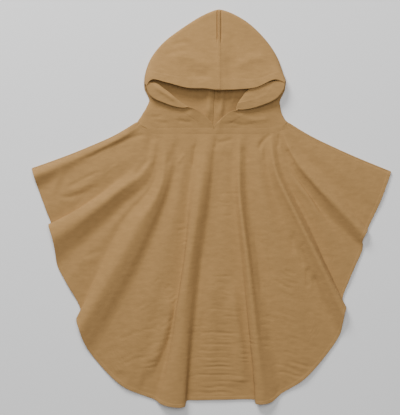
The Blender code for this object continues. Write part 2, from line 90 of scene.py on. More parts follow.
# ---- front panel
# A row for each fold line, as in the CAD.  Long folds are called a to f, left to right.
FoldLine = namedtuple("FoldLine", "name neck yoke middle hem")
STATIONS = np.array([0.0, 0.2, 0.5, 1.0])
FRONT_FOLDS = table(FoldLine, (
    ("left_shoulder_edge", -149, (-188, 147.6, 2.7), (-251, 119, 2.7), (-360, 78, 2.7)),
    ("left_shoulder_roll", -142, (-182, 141.5, 7.0), (-246, 111, 6.5), (-355.5, 65, 13.5)),
    ("left_shoulder_foot", -136, (-172, 136, 3.4), (-237, 101, 3.8), (-347, 38, 3.2)),
    ("left_sleeve", -131, (-150, 118, 4.5), (-214, 75, 5.5), (-331, -5, 4.5)),
    ("a_foot", -127, (-137, 107, 4.6), (-199, 46, 3.6), (-321, -34, 3.2)),
    ("a_lip", -123, (-131, 99, 5.4), (-196, 42, 8.5), (-326, -33, 8.0)),
    ("a_crest", -119, (-126, 90, 7.0), (-190, 32, 14.5), (-318, -60, 16.5)),
    ("a_slope", -115, (-122, 80, 5.4), (-185, 20, 9.5), (-313, -87, 9.5)),
    ("a_valley", -112, (-118, 72, 3.6), (-180, 5, 3.2), (-309, -115, 3.0)),
    ("ab_panel", -109, (-115, 66, 3.4), (-178, -13, 4.2), (-290, -151, 5.0)),
    ("b_foot", -106, (-112, 62, 3.8), (-176, -28, 4.0), (-262, -206, 3.4)),
    ("b_lip", -102, (-107, 59, 6.5), (-170, -39, 8.5), (-270, -221, 8.0)),
    ("b_crest", -93, (-99, 57, 11.5), (-153, -45, 16.5), (-265, -241, 16.0)),
    ("b_slope", -80, (-89, 60, 8.5), (-138, -59, 12.0), (-255, -269, 10.0)),
    ("b_valley", -66, (-77, 62, 3.6), (-125, -76, 3.2), (-240, -294, 3.0)),
    ("bc_panel", -46, (-61, 56, 6.5), (-94, -94, 7.0), (-178, -357, 5.0)),
    ("c_valley", -26, (-43, 46, 4.0), (-57, -113, 4.2), (-113, -384, 3.0)),
    ("c_back", -14, (-33, 46, 11.5), (-55, -114, 12.5), (-100, -392, 11.5)),
    ("c_crest", -4, (-21, 46, 15.5), (-45, -114, 17.0), (-78, -397.5, 17.0)),
    ("c_lip", 3, (-10, 46, 11.5), (-35, -114, 12.5), (-54.5, -397, 14.0)),
    ("c_foot", 8, (-1, 46, 5.2), (-22, -113, 4.2), (-50, -386, 3.4)),
    ("c_skirt", 15, (10, 46, 3.4), (-9, -113, 3.2), (-28, -385, 3.0)),
    ("centre_panel", 29, (28, 46, 4.5), (22, -114, 4.4), (22, -384, 3.2)),
    ("d_foot", 44, (43, 46, 4.2), (60, -115, 3.6), (91, -385, 2.9)),
    ("d_lip", 51, (49, 46, 7.5), (65, -116, 8.5), (88, -391, 9.0)),
    ("d_crest", 58, (55, 46, 12.5), (73, -116, 14.5), (102, -392, 15.5)),
    ("d_slope", 65, (63, 46, 7.0), (83, -117, 8.0), (120, -388, 10.0)),
    ("d_valley", 72, (71, 45, 3.2), (96, -117, 3.2), (138, -373, 3.0)),
    ("de_panel", 88, (97, 56, 7.5), (130, -86, 7.5), (188, -341, 5.0)),
    ("e_valley", 103, (115, 67, 4.0), (153, -42, 4.2), (256, -256, 3.0)),
    ("e_slope", 111, (121, 73, 8.0), (165, -36, 9.5), (262, -233, 9.0)),
    ("e_crest", 118, (127, 79, 12.5), (176, -29, 15.5), (266, -210, 15.5)),
    ("e_lip", 123, (132, 82, 9.0), (182, -25, 10.5), (269, -198, 8.5)),
    ("e_foot", 127, (138, 86, 4.6), (189, -20, 3.6), (262, -187, 3.4)),
    ("ef_panel", 130, (147, 92, 5.0), (204, 5, 6.5), (281, -132, 4.5)),
    ("f_valley", 133, (153, 99, 3.8), (195, 30, 3.2), (303, -80, 3.0)),
    ("f_slope", 136, (157, 103, 6.5), (203, 40, 8.5), (302, -66, 9.0)),
    ("f_crest", 139, (161, 108, 10.0), (209, 47, 14.5), (307, -54, 14.5)),
    ("f_lip", 142, (165, 113, 7.5), (217, 56, 9.5), (312, -45, 8.5)),
    ("f_foot", 145, (171, 119, 4.6), (226, 66, 4.0), (313, -41, 2.9)),
    ("right_sleeve", 149, (181, 131, 4.5), (237, 87, 5.0), (339, 14, 4.0)),
    ("right_shoulder_edge", 153, (192, 147, 2.7), (253, 117, 2.7), (360, 72, 2.7)),
))
# The back panel has the lines that lie low on it, apart from the one under fold c's lip.
RAISED = ("_roll", "_lip", "_crest", "_slope", "_back")
BACK_FOLDS = [fold for fold in FRONT_FOLDS
              if not fold.name.endswith(RAISED) and fold.name != "c_foot"]

# ---- hood
# A row for each section of a hood half, as in the CAD, from the neck seam to the centre seam.
Section = namedtuple("Section", "name rim roll under side fold back")
TIP_POINT = 5
BACK_STATIONS = (0.45, 0.7, 0.86)
CENTRE_SEAM = ("centre_seam", (15.5, 234.5, 20.5), (15.5, 290, 16.5), (15.5, 345, 11.2),
               (15.5, 381, 7.5), (15.5, 398), 391)
HOOD_LEFT = table(Section, (
    ("neck_seam", (5, 154.7, 4.4), (-35, 154.7, 4.4), (-75, 154.7, 4.4), (-113, 155.2, 4.4),
     (-149, 172), 172),
    ("vee", (5, 163.5, 6.0), (-33, 163, 5.6), (-73, 163, 5.2), (-114, 164, 5.2), (-146, 177), 178),
    ("vee_side", (-12, 184, 9.0), (-34, 177, 7.8), (-72, 174, 6.6), (-112, 176, 6.0), (-141, 184),
     186),
    ("vee_top", (-26, 194, 11.5), (-42, 187, 9.8), (-74, 183, 7.6), (-110, 186, 6.6), (-137, 191),
     193),
    ("lip_turn", (-42, 201, 14.0), (-45, 198.5, 10.8), (-67, 193, 8.4), (-108, 194, 6.8),
     (-133, 197), 199),
    ("lip_start", (-58, 200, 15.0), (-58, 208.5, 14.5), (-74, 203, 8.8), (-108, 201, 6.8),
     (-130, 203), 205),
    ("lip_low", (-77, 203.5, 15.0), (-74, 220, 15.0), (-87, 213, 8.8), (-108, 208, 6.8),
     (-127, 209), 212),
    ("lip_mid", (-100, 211.5, 15.0), (-94, 237, 14.5), (-106, 229, 8.5), (-116, 220, 6.4),
     (-125, 216), 219),
    ("lip_high", (-116, 219, 15.5), (-111, 249, 14.2), (-120, 240, 8.8), (-125, 231, 6.4),
     (-128, 225), 227),
    ("corner_low", (-126, 230, 16.5), (-126, 249.5, 14.8), (-130, 246, 11.0), (-132, 241, 8.0),
     (-134, 237), 237),
    ("corner_high", (-129, 242, 17.5), (-131, 247, 16.0), (-133, 248.5, 12.5), (-134, 249, 8.5),
     (-135, 249), 249),
    ("brow_left", (-119, 256, 18.5), (-123, 261, 17.5), (-128, 265, 14.5), (-131, 268, 10.0),
     (-133, 269), 270),
    ("brow_mid", (-89, 250, 19.0), (-99, 264, 17.0), (-109, 280, 14.0), (-117, 293, 9.5),
     (-122, 299), 300),
    ("brow_inner", (-49, 239.5, 19.5), (-61, 266, 17.0), (-77, 298, 13.5), (-90, 324, 8.5),
     (-97, 331), 330),
    ("crown_side", (-15, 238, 20.0), (-22, 276, 16.8), (-34, 320, 12.2), (-48, 352, 8.0),
     (-58, 361), 360),
    ("crown_near", (4, 235.5, 20.5), (3, 285, 16.5), (-2, 337, 11.2), (-9, 372, 7.5), (-17, 386.5),
     379),
    ("seam_side", (10, 235, 20.5), (9.5, 288, 16.5), (8.5, 342, 11.2), (7.5, 379, 7.5), (8, 396.8),
     388),
    CENTRE_SEAM,
))
HOOD_RIGHT = table(Section, (
    ("neck_seam", (5, 154.7, 4.4), (40, 154.7, 4.4), (80, 154.7, 4.4), (117, 155.2, 4.4),
     (153, 171), 172),
    ("vee", (5, 163.5, 6.0), (41, 162, 5.6), (80, 162, 5.2), (118, 163, 5.2), (148, 177), 178),
    ("vee_side", (21, 181, 9.0), (45, 173, 7.8), (82, 171, 6.6), (117, 173, 6.0), (144, 184), 185),
    ("vee_top", (39, 193, 12.0), (52, 185, 10.2), (86, 180, 7.6), (117, 182, 6.6), (141, 190),
     191),
    ("lip_turn", (53, 196, 14.5), (49, 195, 11.2), (72, 190, 8.6), (112, 187, 6.8), (140, 194),
     195),
    ("lip_start", (70, 197, 15.2), (52, 207, 14.8), (68, 200, 9.0), (109, 192, 6.8), (139, 198),
     199),
    ("lip_low", (96, 203, 15.5), (61, 221, 15.2), (76, 212, 8.5), (112, 200, 6.8), (138, 205),
     206),
    ("lip_mid", (124, 214, 16.0), (74, 236, 14.8), (92, 226, 8.5), (120, 212, 6.6), (137, 213),
     214),
    ("lip_high", (138, 226, 16.5), (104, 248, 14.2), (119, 240, 9.0), (133, 228, 6.6), (141, 223),
     224),
    ("corner_low", (144.5, 239, 17.0), (133, 254, 15.0), (140, 248, 11.5), (144.5, 241, 8.0),
     (147, 237), 237),
    ("corner_high", (145, 249, 18.0), (146.5, 252, 16.2), (147.5, 252.5, 13.0), (148, 252.5, 9.0),
     (148.5, 252.5), 251),
    ("brow_right", (126, 256, 19.0), (131, 263, 17.8), (137, 269, 15.0), (141, 272, 10.0),
     (143, 273), 272),
    ("brow_mid", (89, 240.5, 19.5), (100, 259, 17.5), (113, 281, 14.5), (124, 299, 9.5),
     (131, 304), 302),
    ("brow_inner", (49, 236, 20.0), (62, 264, 16.5), (80, 300, 13.2), (97, 329, 8.5), (108, 338),
     332),
    ("crown_side", (36, 235.5, 20.2), (41, 274, 15.0), (48, 320, 11.8), (61, 355, 8.0), (74, 371),
     361),
    ("crown_near", (26, 235, 20.5), (28, 285, 16.0), (32, 337, 11.2), (37, 374, 7.5), (42, 390),
     380),
    ("seam_side", (20, 234.5, 20.5), (21, 288, 16.5), (22.5, 342, 11.2), (23.5, 379, 7.5),
     (23, 396.8), 388),
    CENTRE_SEAM,
))

# ---- creases
# rise is the height of a ridge, or less than nothing for a trough, and width is across it.
Crease = namedtuple("Crease", "rise width path")
FRONT_CREASES = table(Crease, (
    # left sleeve, in line with the shoulder
    (-1.5, 5.5, ((-299, 37), (-281, 45), (-243, 65), (-217, 77))),
    (-1.1, 5.5, ((-284, 25), (-258, 31), (-233, 42), (-217, 48))),
    (-1.8, 8.0, ((-306, 22), (-272, 24), (-243, 35))),
    (-0.9, 5.5, ((-266, 17), (-233, 35))),
    (0.9, 6.0, ((-290, 31), (-262, 41), (-232, 54))),
    (-1.0, 7.0, ((-268, 97), (-238, 105), (-217, 116), (-192, 127))),
    (-1.2, 8.0, ((-206, 121), (-180, 132), (-156, 142), (-126, 148))),
    (1.8, 16.0, ((-292, 82), (-303, 64), (-316, 36), (-322, 16))),
    # the top of fold a lies flat
    (-1.9, 18.0, ((-121, 158), (-122, 136), (-125, 112), (-130, 92))),
    (1.5, 13.0, ((-112, 150), (-114, 122), (-117, 100), (-120, 78))),
    (-2.2, 11.0, ((-117, 108), (-124, 99), (-138, 82), (-160, 58))),
    # between folds a and b
    (-1.0, 7.0, ((-256, -100), (-236, -90), (-214, -83))),
    (0.8, 7.0, ((-262, -108), (-240, -99), (-218, -92))),
    (-0.7, 6.0, ((-268, -122), (-246, -112))),
    # under the neck seam
    (-1.3, 14.0, ((-67, 139), (-72, 120), (-82, 99), (-92, 76))),
    (-1.7, 10.0, ((-25, 138), (-32, 120), (-35, 92), (-35, 72))),
    (1.1, 8.0, ((-52, 110), (-60, 100), (-69, 87))),
    (-1.2, 8.0, ((5, 142), (10, 131), (6, 115))),
    (-1.2, 6.0, ((8, 131), (28, 134), (48, 140))),
    (1.2, 18.0, ((14, 119), (32, 117), (46, 122))),
    (-1.3, 10.0, ((58, 122), (68, 110), (74, 90))),
    (-1.7, 8.0, ((126, 152), (112, 142), (99, 128), (94, 112))),
    (-1.4, 7.0, ((133, 150), (135, 134), (132, 118))),
    (0.8, 8.0, ((104, 128), (101, 112), (104, 96))),
    # along the crests of folds d, e and f, and beside them
    (1.7, 10.0, ((57, 34), (65, -50), (73, -116), (89, -256), (100, -376))),
    (2.2, 8.0, ((126, 84), (146, 34), (176, -29), (209, -94), (250, -176))),
    (2.0, 9.0, ((160, 108), (209, 47), (262, -4), (302, -48))),
    (-1.9, 10.0, ((88, -20), (95, -92), (98, -146), (104, -190))),
    (-1.5, 7.0, ((102, -90), (108, -150), (116, -205))),
    (-1.1, 6.0, ((112, -60), (118, -110), (126, -150))),
    (-1.6, 8.0, ((184, -84), (184, -122))),
    (-2.2, 8.0, ((192, -116), (196, -160))),
    (-2.8, 11.0, ((203, -128), (209, -158), (212, -192))),
    (-2.4, 11.0, ((217, -176), (226, -200), (236, -226))),
    (-1.4, 13.0, ((172, -58), (166, -94))),
    (-2.6, 8.0, ((150, 56), (165, 26), (186, -12), (205, -50), (226, -98), (242, -140))),
    (1.2, 10.0, ((153, 74), (179, 38), (203, 6), (217, -38))),
    (-1.0, 9.0, ((163, 90), (172, 78))),
    (-0.9, 8.0, ((262, 30), (282, 6), (300, -16))),
    # left of fold c, which sinks to its foot
    (5.4, 25.0, ((-84, -150), (-90, -226), (-110, -286), (-132, -346))),
    (-3.0, 18.0, ((-66, -190), (-76, -250), (-90, -290), (-106, -332), (-118, -372))),
    (-0.8, 11.0, ((-90, -190), (-98, -236), (-112, -288))),
    # in the centre panel
    (3.4, 30.0, ((2, -90), (-2, -190), (-2, -280), (0, -364))),
    (-1.0, 12.0, ((-18, -70), (-25, -135), (-27, -192))),
    (-1.4, 9.0, ((-16, -200), (-22, -250), (-28, -304))),
    # left of fold d
    (5.8, 20.0, ((40, -130), (48, -220), (58, -290), (64, -366))),
    (-1.9, 8.0, ((57, -190), (68, -256), (79, -314), (87, -366))),
    (1.4, 16.0, ((34, -350), (52, -344), (70, -344))),
    # along the hem
    (-1.6, 20.0, ((-190, -326), (-164, -342))),
    (-1.4, 15.0, ((-133, -362), (-118, -346))),
    (-1.5, 20.0, ((126, -376), (158, -352))),
    (-2.4, 20.0, ((46, -380), (66, -366), (90, -350))),
    (1.5, 14.0, ((-148, -366), (-140, -330), (-132, -300))),
    (1.0, 14.0, ((150, -358), (146, -330), (140, -300))),
))


# ---- curves
def spline(points, knots, at):
    """Values at the given knots of a smooth curve through points, one row for each point."""
    points = np.asarray(points, float)
    gaps = np.diff(knots)
    slopes = np.diff(points, axis=0) / gaps[:, None]
    tangents = np.empty_like(points)
    weighted = slopes[1:] * gaps[:-1, None] + slopes[:-1] * gaps[1:, None]
    tangents[1:-1] = weighted / (gaps[1:] + gaps[:-1])[:, None]
    tangents[0] = 1.5 * slopes[0] - 0.5 * tangents[1]
    tangents[-1] = 1.5 * slopes[-1] - 0.5 * tangents[-2]
    gap = np.clip(np.searchsorted(knots, at, side="right") - 1, 0, len(gaps) - 1)
    span = gaps[gap][:, None]
    f = ((at - knots[gap]) / gaps[gap])[:, None]
    start = (1 + 2 * f) * (1 - f) ** 2 * points[gap] + f * (1 - f) ** 2 * span * tangents[gap]
    end = f * f * (3 - 2 * f) * points[gap + 1] + f * f * (f - 1) * span * tangents[gap + 1]
    return start + end


def split_gaps(knots, counts):
    """The knots, with counts[i] even parts in gap i, or counts in each."""
    counts = np.broadcast_to(counts, len(knots) - 1)
    parts = [low + (high - low) * np.arange(n) / n
             for low, high, n in zip(knots[:-1], knots[1:], counts)]
    return np.append(np.concatenate(parts), knots[-1])


def chord_knots(points):
    """Centripetal knots, which keep a smooth curve from looping at tight turns."""
    lengths = np.linalg.norm(np.diff(points, axis=0), axis=-1)
    while lengths.ndim > 1:
        lengths = lengths.mean(axis=-1)
    return np.append(0.0, np.cumsum(np.sqrt(lengths + 1e-6)))


def smooth_line(points, counts):
    """A smooth curve through points, with even parts in each gap as split_gaps says."""
    points = np.asarray(points, float)
    knots = chord_knots(points)
    return spline(points, knots, split_gaps(knots, counts))


def smoothstep(low, high, x):
    f = np.clip((x - low) / (high - low), 0, 1)
    return f * f * (3 - 2 * f)


NECK_CURVE = smooth_line(NECK_LINE, 8)


def neck_y(x):
    return np.interp(x, NECK_CURVE[:, 0], NECK_CURVE[:, 1])


def neck_z(x):
    outer = (NECK_CURVE[0, 0], NECK_LINE[2][0], NECK_LINE[-3][0], NECK_CURVE[-1, 0])
    return np.interp(x, outer, (NECK_END_Z, NECK_Z, NECK_Z, NECK_END_Z))


def back_seam_x(y):
    (low_x, low_y), (high_x, high_y) = BACK_SEAM_LOW, BACK_SEAM_HIGH
    return np.interp(y, (low_y, high_y), (low_x, high_x))


def directions(path):
    """The unit direction of a path at each of its points."""
    along = np.gradient(path, axis=0)
    return along / np.linalg.norm(along, axis=1, keepdims=True)


# ---- crinkle
def lattice(ix, iy, seed):
    """A value from -1 to 1 for each whole point, the same each run."""
    h = (ix * 374761393 + iy * 668265263 + seed * 362437) & 0xFFFFFFFF
    h = ((h ^ (h >> 13)) * 1274126177) & 0xFFFFFFFF
    return ((h ^ (h >> 16)) & 0xFFFF) / 32767.5 - 1


def noise(x, y, seed):
    """Smooth noise from -1 to 1 with a cell of 1."""
    ix, iy = np.floor(x).astype(np.int64), np.floor(y).astype(np.int64)
    fx, fy = x - ix, y - iy
    fx, fy = fx ** 3 * (fx * (fx * 6 - 15) + 10), fy ** 3 * (fy * (fy * 6 - 15) + 10)
    low = lattice(ix, iy, seed) * (1 - fx) + lattice(ix + 1, iy, seed) * fx
    high = lattice(ix, iy + 1, seed) * (1 - fx) + lattice(ix + 1, iy + 1, seed) * fx
    return low * (1 - fy) + high * fy


# Where the gauze's ripples stand out: weft is the strength of those that run across the cloth
# and warp of those that run up it.
Zone = namedtuple("Zone", "x y reach_x reach_y weft warp")
RIPPLE_ZONES = table(Zone, (
    (-88, -215, 26, 120, 1.1, 1.3),
    (-170, -285, 75, 60, 1.0, 0.1),
    (20, -320, 70, 75, 1.2, 0.5),
    (150, -280, 65, 100, 1.2, 0.2),
    (146, -150, 35, 50, 0.8, 0.4),
    (104, -150, 14, 130, 0.3, 1.2),
    (205, -160, 30, 70, 0.2, 0.9),
    (-28, -170, 18, 120, 0.4, 0.9),
    (-250, 35, 55, 35, 0.5, 0.1),
    (-95, -20, 40, 60, 0.3, 0.5),
))
ARCH = 0.00075           # how the weft ripples drop to both sides, per mm

# Rows of fine parallel creases: the middle of the rows, their length and number, the mean gap
# between them, their slope in degrees, and their depth.
RippleRows = namedtuple("RippleRows", "x y length count gap slope depth")
RIPPLE_ROWS = table(RippleRows, (
    (18, -312, 132, 16, 8.0, 0, 0.40),
    (26, -226, 96, 7, 9.6, 1, 0.26),
    (22, -160, 60, 6, 9.0, 2, 0.22),
    (-22, -262, 38, 7, 8.6, 4, 0.28),
    (70, -290, 44, 10, 7.6, -3, 0.36),
    (118, -246, 40, 9, 7.8, -3, 0.34),
    (196, -238, 48, 8, 8.2, -14, 0.34),
    (172, -292, 104, 12, 8.4, -3, 0.44),
    (172, -330, 60, 5, 8.0, 4, 0.34),
    (147, -156, 48, 7, 10.0, -14, 0.40),
    (152, -218, 54, 4, 11.0, -8, 0.30),
    (-176, -282, 104, 9, 9.0, 11, 0.40),
    (-122, -296, 66, 5, 9.5, 7, 0.36),
    (-116, -330, 50, 5, 9.0, 0, 0.32),
    (-90, -160, 26, 9, 8.0, 38, 0.46),
    (-92, -228, 34, 9, 8.0, 30, 0.48),
    (-104, -290, 30, 6, 8.0, 26, 0.44),
    (-126, -214, 60, 6, 9.5, 16, 0.34),
    (-250, -128, 52, 4, 9.0, 24, 0.36),
    (-262, 27, 64, 5, 9.0, 22, 0.30),
    (-206, 76, 50, 3, 9.0, 30, 0.26),
    (106, -70, 30, 5, 11.0, 4, 0.26),
    (232, -120, 36, 5, 10.0, -30, 0.28),
    (268, 84, 60, 3, 12.0, -22, 0.20),
    (-52, -60, 26, 6, 10.0, 6, 0.24),
    (30, 10, 50, 4, 13.0, 0, 0.20),
))


def crinkle(x, y, z, zones, level):
    """The gauze's own relief in mm: long soft ripples along and across, and small puckers."""
    weft, warp = np.full_like(x, 0.35), np.full_like(x, 0.25)
    for zone in zones:
        near = np.exp(-((x - zone.x) / zone.reach_x) ** 2 - ((y - zone.y) / zone.reach_y) ** 2)
        weft += zone.weft * near
        warp += zone.warp * near
    patchy = 0.65 + 0.45 * noise(x / 46, y / 38, 11)
    along = y + ARCH * (x - VEE_X) ** 2 + 5 * noise(x / 60, y / 44, 3)
    across = x + 4 * noise(x / 40, y / 70, 4)
    weft_ripple = noise(x / 48, along / 4.7, 1) + 0.45 * noise(x / 22, along / 3.1, 2)
    warp_ripple = noise(across / 4.6, y / 52, 5) + 0.4 * noise(across / 3.2, y / 26, 6)
    puckers = noise(x / 6.5, y / 5.0, 7) + 0.6 * noise(x / 3.4, y / 3.0, 8)
    smoother_up = 1 - 0.55 * smoothstep(6, 15, z)
    ripples = 0.13 * weft * weft_ripple + 0.16 * warp * warp_ripple
    return level * (smoother_up * patchy * ripples + 0.05 * puckers)


def crease_rise(creases, x, y):
    """How far the creases lift the cloth at x, y."""
    rise = np.zeros_like(x)
    for crease in creases:
        path = smooth_line(crease.path, 5)
        lengths = np.linalg.norm(np.diff(path, axis=0), axis=1)
        starts = np.append(0, np.cumsum(lengths))
        nearest, share = np.full_like(x, 1e9), np.zeros_like(x)
        for start, end, length, before in zip(path[:-1], path[1:], lengths, starts):
            dx, dy = (end - start) / length
            t = np.clip((x - start[0]) * dx + (y - start[1]) * dy, 0, length)
            far = np.hypot(x - start[0] - t * dx, y - start[1] - t * dy)
            closer = far < nearest
            nearest = np.where(closer, far, nearest)
            share = np.where(closer, (before + t) / starts[-1], share)
        fade = smoothstep(0, 0.3, share) * smoothstep(0, 0.3, 1 - share)
        rise += crease.rise * fade * np.exp(-(nearest / (crease.width / 2)) ** 2)
    return rise


def ripple_rows_rise(groups, x, y, z):
    """How far the rows of fine creases sink the cloth; each differs a little from the last."""
    rise = np.zeros_like(x)
    along_y = y + ARCH * (x - VEE_X) ** 2
    calm = 1 - 0.6 * smoothstep(7, 15, z)
    for number, group in enumerate(groups):
        slope = math.radians(group.slope)
        middle_y = group.y + ARCH * (group.x - VEE_X) ** 2
        u = (x - group.x) * math.cos(slope) + (along_y - middle_y) * math.sin(slope)
        v = -(x - group.x) * math.sin(slope) + (along_y - middle_y) * math.cos(slope)
        v = v + 3.0 * noise(u / 21, v / 26, 40 + number)
        for k in range(group.count):
            a, b, c, d = lattice(np.arange(4) + 7 * k, np.full(4, number), seed=77)
            at = (k - (group.count - 1) / 2 + 0.42 * a) * group.gap
            half = group.length / 2 * (0.7 + 0.36 * b)
            ends = 1 - smoothstep(0.5 * half, half, np.abs(u - 0.2 * group.length * c))
            deep = 2.3 * group.depth * (0.8 + 0.6 * d)
            rise -= deep * ends * np.exp(-((v - at) / (1.75 + 0.35 * a)) ** 2)
    return rise * calm


# ---- meshes
def surface_normals(grid, side=1):
    """The grid's unit normals; side turns them over."""
    down, over = np.gradient(grid, axis=0), np.gradient(grid, axis=1)
    normal = np.cross(down, over) * side
    return normal / np.maximum(np.linalg.norm(normal, axis=-1, keepdims=True), 1e-9)


def add_object(name, data):
    made = bpy.data.objects.new(name, data)
    bpy.context.scene.collection.objects.link(made)
    return made


def new_object(name, verts, faces, material):
    """A smooth mesh object from points in millimetres, which its material's grain follows."""
    data = bpy.data.meshes.new(name)
    verts = verts * MM
    data.from_pydata([tuple(p) for p in verts], [], faces)
    data.shade_smooth()
    attribute = data.attributes.new("grain", "FLOAT_VECTOR", "POINT")
    attribute.data.foreach_set("vector", verts.astype(np.float32).ravel())
    data.update()
    data.materials.append(material)
    return add_object(name, data)


def shell(name, middle, normal, thick, material, ratio=(1, 1), side=1):
    """A closed wall about a grid; its inner face may be coarser by the ratio."""
    outer = middle + normal * thick[..., None] / 2
    inner = (middle - normal * thick[..., None] / 2)[::ratio[0], ::ratio[1]]
    rows, cols = outer.shape[:2]
    inner_rows, inner_cols = inner.shape[:2]
    base = rows * cols

    def inner_at(r, c):
        return base + r // ratio[0] * inner_cols + c // ratio[1]

    def first_corners(rows, cols):
        return (np.arange(rows - 1)[:, None] * cols + np.arange(cols - 1)).ravel()

    at = first_corners(rows, cols)
    faces = np.stack([at, at + cols, at + cols + 1, at + 1], axis=1).tolist()
    at = base + first_corners(inner_rows, inner_cols)
    faces += np.stack([at, at + 1, at + inner_cols + 1, at + inner_cols], axis=1).tolist()
    edges = (
        ([(i, 0) for i in range(rows)], ratio[0]),
        ([(rows - 1, i) for i in range(cols)], ratio[1]),
        ([(i, cols - 1) for i in range(rows - 1, -1, -1)], ratio[0]),
        ([(0, i) for i in range(cols - 1, -1, -1)], ratio[1]),
    )
    for path, step in edges:
        for k in range(0, len(path) - 1, step):
            top = [r * cols + c for r, c in path[k:k + step + 1]]
            low, high = inner_at(*path[k]), inner_at(*path[k + step])
            faces += [[top[i + 1], top[i], low] for i in range(step)]
            faces.append([top[step], low, high])
    if side < 0:
        faces = [face[::-1] for face in faces]
    verts = np.concatenate([outer.reshape(-1, 3), inner.reshape(-1, 3)])
    return new_object(name, verts, faces, material)


def loft(rings, start=0):
    """Points and faces of a closed body through rings, an array of stations by points."""
    stations, count = rings.shape[:2]
    faces = [[start + i for i in range(count)][::-1]]
    faces.append([start + (stations - 1) * count + i for i in range(count)])
    for s in range(stations - 1):
        for i in range(count):
            low, high = start + s * count, start + (s + 1) * count
            j = (i + 1) % count
            faces.append([low + i, low + j, high + j, high + i])
    return rings.reshape(-1, 3), faces


def ring_points(centre, along, up, half_width, half_height, count):
    """A closed ring about centre, square to along."""
    side = np.cross(along, up)
    angles = np.linspace(0, 2 * np.pi, count, endpoint=False)[:, None]
    return centre + np.cos(angles) * side * half_width + np.sin(angles) * up * half_height


# ---- sewing
STITCH_LENGTH = 2.3
STITCH_PITCH = 3.1
STITCH_WIDTH = 0.44
STITCH_HEIGHT = 0.2
BAND_SUNK = 0.6          # how deep a band's underside lies in the cloth
ABOVE = 60.0             # a height over the whole garment


def line_at(points, normals, distances, at):
    """The point and the normal of each row of a surface where its distance reaches at."""
    line, ups = [], []
    for row, up, far in zip(points, normals, distances):
        column = np.interp(at, far, np.arange(len(far)))
        low = min(int(column), len(far) - 2)
        share = column - low
        line.append(row[low] * (1 - share) + row[low + 1] * share)
        ups.append(up[low] * (1 - share) + up[low + 1] * share)
    return np.array(line), np.array(ups)


def sew(points, ups):
    """Rings of the stitches along a line that lies on the cloth."""
    far = np.append(0, np.cumsum(np.linalg.norm(np.diff(points, axis=0), axis=1)))
    stitches = []
    for number, start in enumerate(np.arange(0.4, far[-1] - STITCH_LENGTH, STITCH_PITCH)):
        jitter = 0.16 * lattice(np.array([number]), np.array([len(far)]), seed=91)[0]
        middle, before, after, up = (
            np.array([np.interp(start + jitter + step, far, values[:, axis]) for axis in range(3)])
            for step, values in ((STITCH_LENGTH / 2, points), (0, points),
                                 (STITCH_LENGTH, points), (STITCH_LENGTH / 2, ups))
        )
        along = after - before
        length = np.linalg.norm(along)
        if length < 0.6 * STITCH_LENGTH:
            continue
        along /= length
        up = up - along * (up @ along)
        up /= np.linalg.norm(up)
        rings = [
            ring_points(middle + along * shift * STITCH_LENGTH / 2 - up * drop, along, up,
                        STITCH_WIDTH / 2 * size, STITCH_HEIGHT / 2 * size, count=6)
            for shift, size, drop in ((-1, 0.45, 0.14), (-0.4, 0.95, 0), (0.4, 0.95, 0),
                                      (1, 0.45, 0.14))
        ]
        stitches.append(np.array(rings))
    return stitches


def stitches_object(name, lines, material):
    """One mesh of all stitches along the lines, each a pair of points and normals."""
    verts, faces, count = [], [], 0
    for points, ups in lines:
        for rings in sew(points, ups):
            places, more = loft(rings, count)
            verts.append(places)
            faces += more
            count += len(places)
    verts = np.concatenate(verts)
    return new_object(name, verts, faces, material)


def surface_tree(objects):
    """A search tree over the objects' faces, in millimetres."""
    verts, faces = [], []
    for each in objects:
        start = len(verts)
        verts += [corner.co / MM for corner in each.data.vertices]
        faces += [[start + i for i in face.vertices] for face in each.data.polygons]
    return BVHTree.FromPolygons(verts, faces)


def strip(name, tree, path, half_width, profile, columns, material, strength=1.0):
    """A band along a path, which lies on what is under it; profile is its height across."""
    along = directions(path)
    side = np.stack([along[:, 1], -along[:, 0]], axis=1)
    across = np.linspace(-half_width, half_width, columns)
    plan = path[:, None] + side[:, None] * across[None, :, None]
    under = np.array([[tree.ray_cast((*p, ABOVE), (0, 0, -1))[0] for p in row] for row in plan])
    share = np.linspace(0, 1, columns)[None, :]
    bridge = under[:, :1, 2] * (1 - share) + under[:, -1:, 2] * share  # over the seam's gap
    under[..., 2] = np.maximum(under[..., 2], bridge)
    height = profile(across)[None, :] + np.zeros(len(path))[:, None]
    ends = np.ones(len(path)) * strength
    ends[[0, -1]] *= 0.3
    thick = BAND_SUNK + height * ends[:, None]
    middle = under.copy()
    middle[..., 2] += thick / 2 - BAND_SUNK
    up = np.zeros_like(middle)
    up[..., 2] = 1
    band = shell(name, middle, up, thick, material, side=-1)
    return band, middle + up * thick[..., None] / 2, up


# ---- front and back panels
FRONT_ROWS = 258
HEM_ROWS = (8.5, 7.4, 6.7, 6.1, 5.5, 4.6, 3.2, 1.8, 0.8, 0.25, 0.0)  # mm from the edge
FRONT_SPACING = 5.1
FINE_SPACING = 3.1       # where creases run up the cloth, in the gaps after these lines:
FINE_GAPS = ("left_shoulder_roll", "left_shoulder_foot", "left_sleeve", "a_valley", "b_valley",
             "bc_panel", "c_foot", "d_valley", "de_panel", "e_foot", "ef_panel")
LEAST_PARTS = 3          # between two fold lines
# How much coarser the inner face is, down and across.  The front's is as fine across the folds,
# or it would cut through the outer face at a fold's foot.
FRONT_RATIO = (4, 1)
BACK_ROWS = 150
BACK_SPACING = 7.0
BACK_RATIO = (2, 2)


